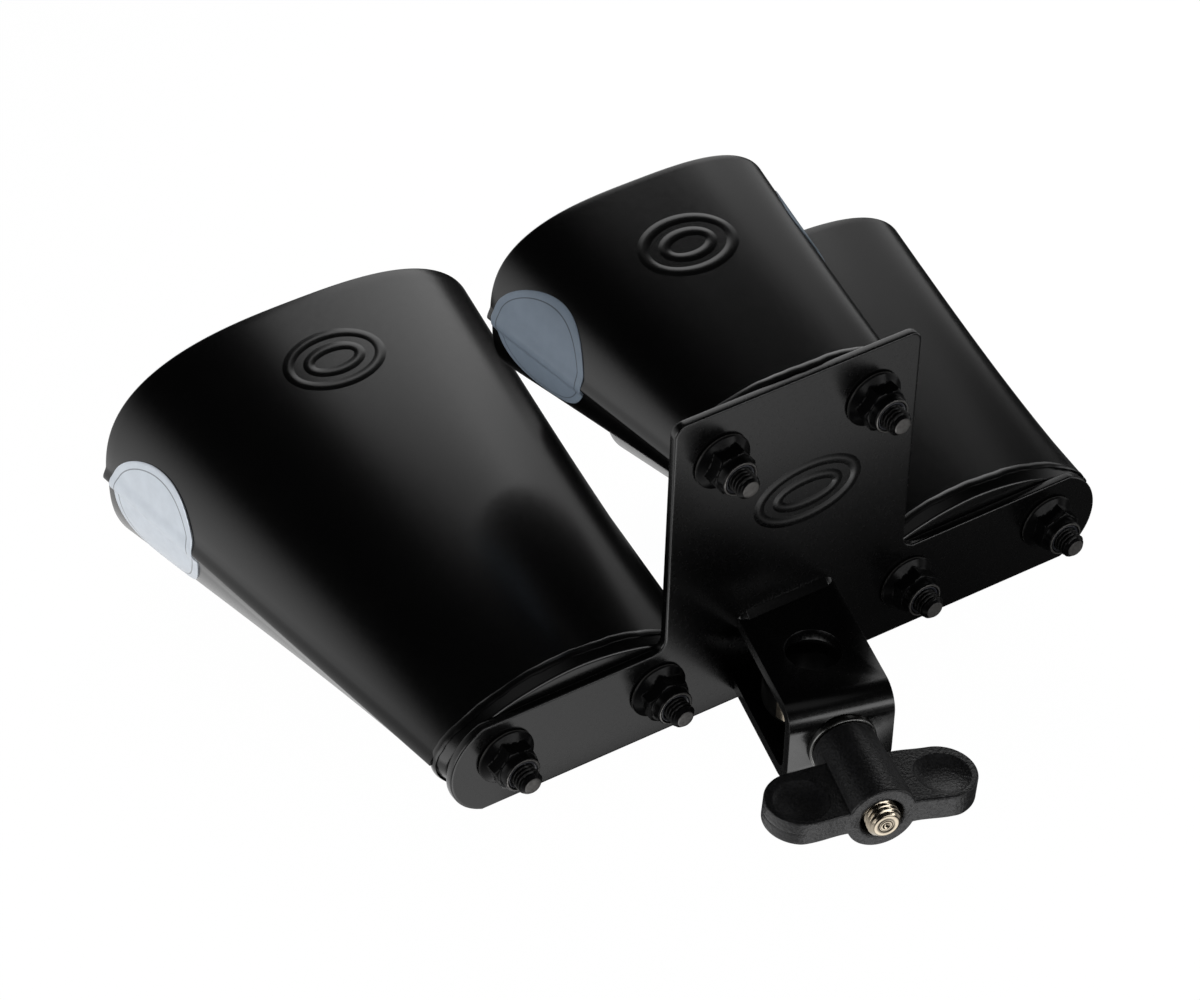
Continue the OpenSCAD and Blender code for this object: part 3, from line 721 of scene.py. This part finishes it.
# Locking rings
# A nylon ring is held in each nut's collar and grips the thread.
# Its edge is cut by the bolt that went through it.
lock_nylon, tree, shader, place = grained(
    "lock_nylon", (0.02, 0.022, 0.03), (0.035, 0.036, 0.045), 500.0, 0.4, 0.55, 900.0)
relief(tree, shader, speckle(tree, place, 1800.0), 0.00001)
lock_start = collar_top - lock_height
lock_heights = lock_start + np.array([0.0, 0.0, 0.9, 1.3, 1.42, 1.3, 0.8])
lock_radii = even([3.05, 3.88, 3.88, 3.7, 3.45, 3.15, 3.02], bolt_turn)
lock_rings = turned(lock_heights, lock_radii, bolt_turn)
for bell_name, bell, side, sign in stations:
    rings = out_of_plate(lock_rings, bell, sign, 0.0)
    make_piece(f"{bell_name}_{side}_lock", [tube(rings, rows_closed=True)], lock_nylon, "frame",
               [f"{bell_name}_lock_ring_{side}"])

# Clamp bracket
# A steel strap bent to a U and welded by its ends to the plate, with a rod hole through both legs.
# It is coated with the plate, and turned a little away from square.
weld_half = 12.9
weld_radius = 2.0
weld_sunk = 0.4
weld_back = 1.2
strap_top = 11.0
strap_edge = 0.5


def softened(name, node, material, body, edge):
    """A node's own mesh, merged and with flat faces joined, with every edge broken by a small round."""
    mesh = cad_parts[node].data.copy()
    mesh.name = name
    work = bmesh.new()
    work.from_mesh(mesh)
    bmesh.ops.remove_doubles(work, verts=work.verts, dist=0.000002)
    bmesh.ops.dissolve_limit(work, angle_limit=np.radians(0.5), verts=work.verts, edges=work.edges)
    work.to_mesh(mesh)
    work.free()
    mesh.polygons.foreach_set("use_smooth", np.ones(len(mesh.polygons), dtype=bool))
    mesh.materials.clear()
    mesh.materials.append(material)
    piece = in_scene(name, mesh)
    round_edges = piece.modifiers.new("broken_edges", "BEVEL")
    round_edges.width = edge * MM
    round_edges.segments = 3
    round_edges.limit_method = "ANGLE"
    round_edges.angle_limit = np.radians(35)
    round_edges.harden_normals = True
    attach(piece, body)
    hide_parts(node)


def bracket_weld(up):
    """A weld bead along the strap's end: a flattened round whose size ripples, tapered at both ends."""
    along = np.linspace(-1, 1, 150)
    turn = np.linspace(0, 2 * np.pi, 64, endpoint=False)
    taper = np.sqrt(1 - along**10)
    size = weld_radius * (taper + 0.012 * np.sin(31 * along) + 0.02 * np.sin(9 * along + 1))
    size = np.maximum(size, 0.05)[:, None]
    reach_y, reach_z = squared_ellipse(size, size, 1.2, turn)
    y = np.minimum(plate_front + weld_sunk - reach_y, plate_front + weld_back)
    z = up * (strap_top - weld_sunk + reach_z)
    x = np.broadcast_to(plate_middle + weld_half * along[:, None], y.shape)
    return tube(np.stack([x, y, z], axis=-1))


softened("rod_bracket", "clamp_bracket", plate_coat, "frame", strap_edge)
make_piece("bracket_welds", [bracket_weld(1), bracket_weld(-1)], plate_coat, "frame")

# Eye bolt
# A ring that goes round the rod, painted near black as shade but for one strip left nickel, with a nickel
# plated rolled thread.
# The wing nut draws it out, and the ring then presses the rod against the bracket.
yaw = np.radians(13.9)
eye_reach = 46.05
eye_radius = 4.0
eye_pitch = 1.25
eye_chamfer = 0.95
eye_thread_start = 13.0
eye_thread_end = eye_reach - 0.12
neck_radius = 3.9
eye_outer = 11.0
eye_outer_round = 1.6
eye_hole = 6.7
eye_hole_round = 0.5
eye_half = 4.0
eye_turn = np.linspace(0, 2 * np.pi, 96, endpoint=False)

nickel, tree, shader, place = grained(
    "nickel", (0.28, 0.24, 0.185), (0.39, 0.345, 0.275), 250.0, 0.14, 0.22, 1400.0)
shader.inputs["Metallic"].default_value = 1.0
relief(tree, shader, speckle(tree, place, 2500.0), 0.000005)

# The ring's near black is painted shade over its nickel, for the dark inside the bracket.
ring_painted_shade, tree, shader, place = grained(
    "ring_painted_shade", (0.002, 0.002, 0.002), (0.005, 0.005, 0.0048), 400.0, 0.35, 0.5, 1200.0)
shader.inputs["Specular IOR Level"].default_value = 0.02
relief(tree, shader, speckle(tree, place, 1800.0), 0.000008)


def along_clamp(points):
    """Points as (across, up, distance along the eye bolt) turned to the clamp's place in the part."""
    across = points[..., 0]
    back = -points[..., 2]
    x = across * np.cos(yaw) + back * np.sin(yaw)
    y = back * np.cos(yaw) - across * np.sin(yaw)
    return np.stack([x, y, points[..., 1]], axis=-1)


eye_height, eye_thread = thread_rows(
    eye_radius, eye_pitch, eye_thread_start, eye_thread_end, eye_chamfer, eye_turn)
tip_height = eye_reach - np.array([0.03, 0.0, 0.0, 0.1, 0.1, 0.0, 0.0, 0.05, 0.45, 0.8])
tip_radius = even([2.9, 2.65, 1.75, 1.65, 1.45, 1.35, 1.0, 0.85, 0.45, 0.05], eye_turn)
neck = even([neck_radius, neck_radius], eye_turn)
height = np.concatenate([[8.2, 12.5], eye_height, tip_height])
radius = np.concatenate([neck, eye_thread, tip_radius])
shank_skin = tube(along_clamp(turned(height, radius, eye_turn)))
ring_corner = np.linspace(0, np.pi / 2, 6)
outer_wall = eye_outer - eye_outer_round * (1 - np.cos(ring_corner))
outer_side = eye_half - eye_outer_round * (1 - np.sin(ring_corner))
hole_wall = eye_hole + eye_hole_round * (1 - np.sin(ring_corner))
hole_side = eye_half - eye_hole_round * (1 - np.cos(ring_corner))
upper_radius = np.concatenate([outer_wall, hole_wall])
upper_height = np.concatenate([outer_side, hole_side])
ring_radius = even(np.concatenate([upper_radius, upper_radius[::-1]]), eye_turn)
ring_height = np.concatenate([upper_height, -upper_height[::-1]])
ring_skin = tube(turned(ring_height, ring_radius, eye_turn), rows_closed=True)
eye_bolt = make_piece("clamp_eye_bolt", [shank_skin, ring_skin], nickel, "eye_bolt",
                      ["eye_bolt"], 50.0)
shank_count = len(shank_skin[1])
# One strip on the ring's outside is left nickel, free of the painted shade.
unshaded_columns = np.arange(51, 55)
unshaded_faces = shank_count + (len(ring_height) - 1) * len(eye_turn) + unshaded_columns
shaded_ring_faces = np.arange(len(eye_bolt.data.polygons)) >= shank_count
shaded_ring_faces[unshaded_faces] = False
second_finish(eye_bolt, ring_painted_shade, shaded_ring_faces)

# Clamp washer
# A stamped washer of dull plated steel between bracket and wing nut.
# It is rounded where the die went in.
washer_steel, tree, shader, place = grained(
    "washer_steel", (0.08, 0.08, 0.078), (0.14, 0.14, 0.136), 300.0, 0.22, 0.32, 1400.0)
shader.inputs["Metallic"].default_value = 1.0
relief(tree, shader, speckle(tree, place, 2500.0), 0.000005)
strap_face = 18.8
washer_turn = np.linspace(0, np.pi / 2, 5)
washer_radius = np.concatenate([[4.4, 4.4, 4.6], 7.5 + 0.5 * np.sin(washer_turn), [8.0, 7.9]])
washer_height = np.concatenate([[0.0, 1.4, 1.6], 1.1 + 0.5 * np.cos(washer_turn), [0.1, 0.0]]) + strap_face
rings = along_clamp(turned(washer_height, even(washer_radius, eye_turn), eye_turn))
make_piece("thumb_washer", [tube(rings, rows_closed=True)], washer_steel, "frame",
           ["clamp_washer"])

# Wing nut
# Moulded in black glass-filled nylon round a brass bush: a tapered barrel with two rounded wings, each with a
# thumb dish above and below. The two mould halves leave a fine parting line round it.
barrel_start = 20.45
barrel_end = 43.55
barrel_back = 7.5
barrel_front = 8.2
wing_middle = 36.15
wing_round = 8.1
wing_tip = 16.6
wing_half = 3.1
wing_edge = 0.5
wing_lean = 0.7
wing_twist = np.radians(3.0)
wing_plane = wing_middle - wing_lean
dish_radius = 6.4
dish_depth = 1.5
recess_radius = 5.0
recess_depth = 9.0
bush_radius = 5.7
root_round = 0.6
root_turn = np.arcsin(wing_half / barrel_front)
wall_share = np.array([0.0, 0.06, 0.25, 0.5, 0.75, 1.0])
parting_line = np.array([0.14, 0.0, 0.0, 0.0, 0.0, 0.0])
edge_steps = 6
wing_steps = 70
hub_steps = 61
side_steps = len(wall_share) + edge_steps + wing_steps

wing_plastic, tree, shader, place = grained(
    "wing_plastic", (0.005, 0.005, 0.0054), (0.02, 0.02, 0.0214), 1800.0, 0.34, 0.46, 1500.0)
shader.inputs["Specular IOR Level"].default_value = 0.36
grain = relief(tree, shader, speckle(tree, place, 1500.0, 2.0), 0.00014)
relief(tree, shader, speckle(tree, place, 5600.0, 1.0), 0.00001, grain)


def smooth_most(a, b, blend):
    """The greater of two heights, with the hollow between them filled by a round of the blend's size."""
    near = np.clip(blend - np.abs(a - b), 0, None) / blend
    return np.maximum(a, b) + near * near * near * blend / 6


def wing_height(across, along_axis, half_span, hub, inset):
    """Height of the upper mould half: the hub's arc or the wing's slab, whichever is higher.

    The slab's edge is rounded, and a thumb dish is sunk into it as a shallow bowl.
    """
    arc = np.sqrt(np.clip(hub**2 - across**2, 0, None))
    rounded = np.clip((np.abs(across) - (half_span - wing_edge)) / wing_edge, 0, 1)
    slab = wing_half - inset - wing_edge + wing_edge * np.sqrt(1 - rounded**2)
    away = np.hypot(np.abs(across) - wing_tip, along_axis - wing_middle)
    bowl = dish_depth * np.clip(1 - (away / dish_radius) ** 2.6, 0, None)
    return smooth_most(arc, slab - bowl, root_round)


def wing_rings(along_axis, half_span, hub, inset):
    """Closed rings round barrel and wings: side wall, edge, wing, hub and back, then the same below."""
    w = along_axis[:, None]
    inset = inset[:, None]
    half_span = half_span[:, None] - inset
    hub = hub[:, None] - inset
    edge_turn = np.linspace(0, np.pi / 2, edge_steps + 1)[1:]
    hub_across = hub * np.cos(np.linspace(root_turn, np.pi - root_turn, hub_steps))
    inner = half_span - wing_edge
    wing_across = inner + (hub_across[:, :1] - inner) * np.linspace(0, 1, wing_steps + 2)[1:-1]
    edge_across = half_span - wing_edge * (1 - np.cos(edge_turn))
    right = np.concatenate([half_span - parting_line, edge_across, wing_across], axis=1)
    across = np.concatenate([right, hub_across, -right[:, ::-1]], axis=1)
    rise = wing_height(across, w, half_span, hub, inset)
    wall_rise = wall_share * (wing_half - wing_edge - inset)
    rise[:, :len(wall_share)] = wall_rise
    rise[:, -len(wall_share):] = wall_rise[:, ::-1]
    below = slice(-2, 0, -1)
    across = np.concatenate([across, across[:, below]], axis=1)
    rise = np.concatenate([rise, -rise[:, below]], axis=1)
    return np.stack([across, rise, np.broadcast_to(w, across.shape)], axis=-1)


def round_rings(along_axis, radius):
    """Plain rings with points at the same turns as the wing rings have."""
    top = np.concatenate([
        np.linspace(0, root_turn, side_steps, endpoint=False),
        np.linspace(root_turn, np.pi - root_turn, hub_steps),
        np.linspace(np.pi - root_turn, np.pi, side_steps + 1)[1:],
    ])
    turn = np.concatenate([top, -top[-2:0:-1]])
    return turned(along_axis, even(radius, turn), turn)


tip_turn = np.linspace(np.arccos((wing_round - wing_edge) / wing_round), np.pi, 84)
tip_along = wing_plane + wing_round * np.cos(tip_turn)
tip_span = wing_tip + wing_round * np.sin(tip_turn)
front_turn = np.linspace(0, np.pi / 2, 7)[:-1]
front_along = barrel_end - wing_edge * (1 - np.cos(front_turn))
front_inset = wing_edge * (1 - np.sin(front_turn))
front_arc = np.clip(wing_round**2 - (front_along - wing_plane) ** 2, 0, None)
front_span = wing_tip + np.sqrt(front_arc)
ring_along = np.concatenate([front_along, tip_along])
ring_span = np.concatenate([front_span, tip_span])
ring_inset = np.concatenate([front_inset, np.zeros_like(tip_turn)])
barrel_share = (ring_along - barrel_start) / (barrel_end - barrel_start)
ring_hub = barrel_back + (barrel_front - barrel_back) * barrel_share
winged = wing_rings(ring_along, ring_span, ring_hub, ring_inset)
recess_along = barrel_end - np.array([recess_depth, 0.5, 0.15, 0.0])
recess = round_rings(recess_along, [recess_radius, recess_radius, 5.15, 5.45])
face_share = np.array([0.25, 0.5, 0.75])[:, None, None]
front_face = recess[-1] * (1 - face_share) + winged[0] * face_share
barrel_along = [26.9, 24.0, 21.2, 20.75, 20.53, barrel_start, barrel_start, barrel_start, 30.0,
                barrel_end - recess_depth]
barrel_radius = [7.69, 7.6, 7.52, 7.45, 7.3, 7.0, 6.2, bush_radius, bush_radius, bush_radius]
barrel = round_rings(barrel_along, barrel_radius)
rings = np.concatenate([recess, front_face, winged, barrel])
rings[..., 2] += wing_lean * smooth((np.abs(rings[..., 0]) - barrel_front) / (wing_tip - barrel_front))
twisted = np.stack([
    rings[..., 0] * np.cos(wing_twist) + rings[..., 1] * np.sin(wing_twist),
    rings[..., 1] * np.cos(wing_twist) - rings[..., 0] * np.sin(wing_twist),
    rings[..., 2],
], axis=-1)
make_piece("thumb_nut", [tube(along_clamp(twisted), rows_closed=True)], wing_plastic, "wing_nut",
           ["wing_nut"], 45.0)

# Wing nut bush
# A turned brass bush with the thread for the eye bolt.
# It is moulded into the barrel so that it can't turn in the plastic.
bush_brass, tree, shader, place = grained(
    "bush_brass", (0.5, 0.36, 0.13), (0.66, 0.5, 0.2), 400.0, 0.25, 0.4, 1200.0)
shader.inputs["Metallic"].default_value = 1.0
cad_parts["wing_nut_bush"].material_slots[0].material = bush_brass

# Floor
# A plain white table under the part. The camera sees it white, with a trace of the shadow.
# The part's satin black mirrors the studio's papers instead.
floor_height = -0.0325
floor_reach = 4.0
white_share = 0.95
floor_outline = np.array([[-1, -1], [1, -1], [1, 1], [-1, 1]]) * floor_reach


def flat_sheet(name, outline, height, material):
    """One flat face with an outline at a height, in metres."""
    points = np.column_stack([outline, np.full(len(outline), height)])
    mesh = bpy.data.meshes.new(name)
    mesh.from_pydata(points.tolist(), [], [list(range(len(outline)))])
    mesh.materials.append(material)
    return in_scene(name, mesh)


floor_white, tree, shader, _ = new_finish("floor_white")
shader.inputs["Base Color"].default_value = (0.88, 0.88, 0.88, 1.0)
shader.inputs["Roughness"].default_value = 0.9
glow = tree.nodes.new("ShaderNodeEmission")
glow.inputs["Strength"].default_value = 1.04
path = tree.nodes.new("ShaderNodeLightPath")
seen = joined(tree, "MAXIMUM", path.outputs["Is Camera Ray"], path.outputs["Is Glossy Ray"])
seen = joined(tree, "MAXIMUM", seen, path.outputs["Is Transmission Ray"])
mixed = tree.nodes.new("ShaderNodeMixShader")
tree.links.new(spread(tree, seen, 0.0, white_share, 0.0, 1.0), mixed.inputs["Fac"])
tree.links.new(shader.outputs["BSDF"], mixed.inputs[1])
tree.links.new(glow.outputs["Emission"], mixed.inputs[2])
tree.links.new(mixed.outputs["Shader"], tree.nodes["Material Output"].inputs["Surface"])
floor = flat_sheet("floor", floor_outline, floor_height, floor_white)
floor.visible_glossy = False

# Painted shadow sheet
# A matt dark sheet lies flat on the table under the part and to its right, as a painted shadow.
# It only shows in reflections, where it stands in for the table's shade under the part.
shadow_sheet_lift = 0.0004
shadow_sheet_outline = np.array([[-60, 2], [12, 2], [9, -60], [300, -60], [300, 90], [-60, 90]]) * MM
painted_shadow_black, tree, shader, _ = new_finish("painted_shadow_black")
shader.inputs["Base Color"].default_value = (0.14, 0.14, 0.14, 1.0)
shader.inputs["Roughness"].default_value = 0.9
shader.inputs["Specular IOR Level"].default_value = 0.0
shadow_sheet = flat_sheet("painted_shadow_sheet", shadow_sheet_outline, floor_height + shadow_sheet_lift, painted_shadow_black)
shadow_sheet.visible_camera = False
shadow_sheet.visible_diffuse = False
shadow_sheet.visible_shadow = False

# Studio
# A dark room with white paper low on the left, low in front, on the right and behind, a dim ceiling, a bright
# panel at the back right, and soft lamps in front and on the left, so that black shows pale and deep tones.
studio = bpy.data.worlds.new("studio")
bpy.context.scene.world = studio
studio.use_nodes = True
room = studio.node_tree
direction = room.nodes.new("ShaderNodeTexCoord").outputs["Generated"]


def towards(x, y, z):
    """How far a direction points along another one, from -1 to 1."""
    dot = room.nodes.new("ShaderNodeVectorMath")
    dot.operation = "DOT_PRODUCT"
    dot.inputs[1].default_value = (x, y, z)
    room.links.new(direction, dot.inputs[0])
    return dot.outputs["Value"]


def eased(value, start, stop, low, high):
    """A number that eases from low to high while value runs from start to stop."""
    result = spread(room, value, low, high, start, stop)
    result.node.interpolation_type = "SMOOTHSTEP"
    return result


left_paper = eased(towards(-0.6, 0.4, -0.69), 0.1, 0.9, 0.006, 1.2)
near_paper = eased(towards(0.05, -0.72, -0.69), 0.935, 0.985, 0.0, 1.8)
front_paper = eased(towards(0.1, -0.75, -0.65), 0.86, 0.93, 0.0, 0.88)
backdrop = eased(towards(0.15, 0.97, 0.15), 0.88, 0.97, 0.0, 1.5)
right_paper = eased(towards(0.99, -0.1, -0.05), 0.82, 0.96, 0.0, 0.8)
ceiling = eased(towards(0.03, -0.22, 0.975), 0.94, 0.99, 0.0, 0.26)
paper_light = left_paper
for paper in (near_paper, front_paper, backdrop, right_paper, ceiling):
    paper_light = joined(room, "ADD", paper_light, paper)
seen_directly = room.nodes.new("ShaderNodeLightPath").outputs["Is Camera Ray"]
background = room.nodes["Background"].inputs["Color"]
room.links.new(joined(room, "MAXIMUM", paper_light, seen_directly), background)


def facing(right, up, back, place):
    """A world matrix whose columns are a thing's right, up and back directions and its place."""
    matrix = np.eye(4)
    matrix[:3] = np.column_stack([right, up, back, place])
    return Matrix(matrix.tolist())


def soft_lamp(name, place, aim, width, height, watts):
    """A rectangular lamp at a place, turned to face a point."""
    lamp = bpy.data.lights.new(name, "AREA")
    lamp.shape = "RECTANGLE"
    lamp.size = width
    lamp.size_y = height
    lamp.energy = watts
    back = np.array(place) - np.array(aim)
    back = back / np.linalg.norm(back)
    right = np.cross([0, 0, 1], back)
    right = right / np.linalg.norm(right)
    lamp_object = in_scene(name, lamp)
    lamp_object.matrix_world = facing(right, np.cross(back, right), back, place)
    lamp_object.visible_camera = False


soft_lamp("key_lamp", (0.35, -1.0, 0.3), (0.0, 0.03, 0.03), 1.3, 0.3, 5.0)
soft_lamp("fill_lamp", (-1.0, -0.15, 0.2), (0.0, 0.03, 0.03), 0.9, 0.7, 4.0)
soft_lamp("back_panel", (0.26, 0.36, 0.28), (0.26, 0.0, 0.28), 0.33, 0.38, 0.76)
soft_lamp("side_panel", (0.54, 0.36, 0.24), (0.54, 0.0, 0.24), 0.22, 0.6, 0.275)

# Camera
# Left of the part's front and above it, at the photograph's angle and distance.
# A long lens, turned a little about its axis.
camera_place = (-0.4979, -0.64065, 0.77277)
camera_turn = np.radians(-34.432)
camera_rise = np.radians(41.628)
camera_roll = np.radians(2.093)
level = np.array([np.cos(camera_turn), np.sin(camera_turn), 0])
level_back = np.array([np.sin(camera_turn), -np.cos(camera_turn), 0])
back = level_back * np.cos(camera_rise) + np.array([0, 0, np.sin(camera_rise)])
upright = np.cross(back, level)
right = level * np.cos(camera_roll) + upright * np.sin(camera_roll)
up = upright * np.cos(camera_roll) - level * np.sin(camera_roll)
lens = bpy.data.cameras.new("camera")
lens.lens = 150.63
lens.sensor_width = 36.0
lens.sensor_fit = "HORIZONTAL"
camera = in_scene("camera", lens)
camera.matrix_world = facing(right, up, back, camera_place)
bpy.context.scene.camera = camera
bpy.context.scene.view_settings.view_transform = "Standard"
